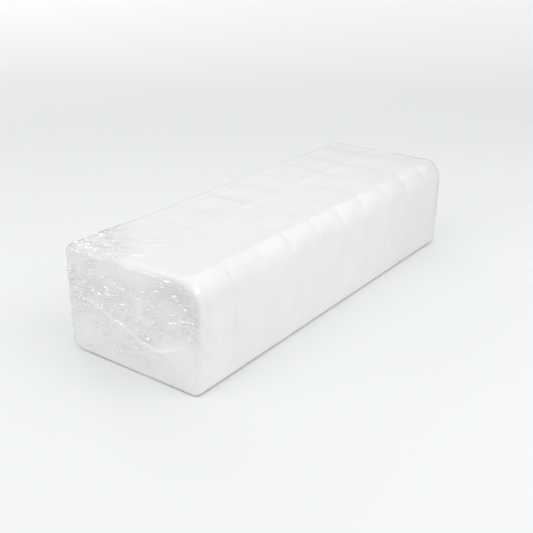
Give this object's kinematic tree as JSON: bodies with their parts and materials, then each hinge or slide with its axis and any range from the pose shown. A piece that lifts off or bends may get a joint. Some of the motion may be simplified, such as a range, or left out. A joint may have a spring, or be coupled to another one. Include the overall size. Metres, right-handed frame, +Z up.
{
  "type": "gymnastics chalk pack",
  "caption": "Long round-cornered pack of white pressed chalk blocks standing in a row, sealed in clear shrink film with folded ends.",
  "frame": {"origin": "on the surface the pack lies on, under the middle of the pack", "axes": "+Z up; Y along the row of blocks, with the front end at -Y; X across the pack"},
  "size_m": [0.0706, 0.2088, 0.0474],
  "materials": {
    "chalk": "matte, powdery pressed magnesium carbonate",
    "film": "clear glossy polyolefin shrink film"
  },
  "bodies": {
    "root": {"block_01": "chalk", "block_02": "chalk", "block_03": "chalk", "block_04": "chalk", "block_05": "chalk", "block_06": "chalk", "block_07": "chalk", "block_08": "chalk", "block_09": "chalk", "block_10": "chalk", "shrink_film": "film"}
  },
  "joints": []
}
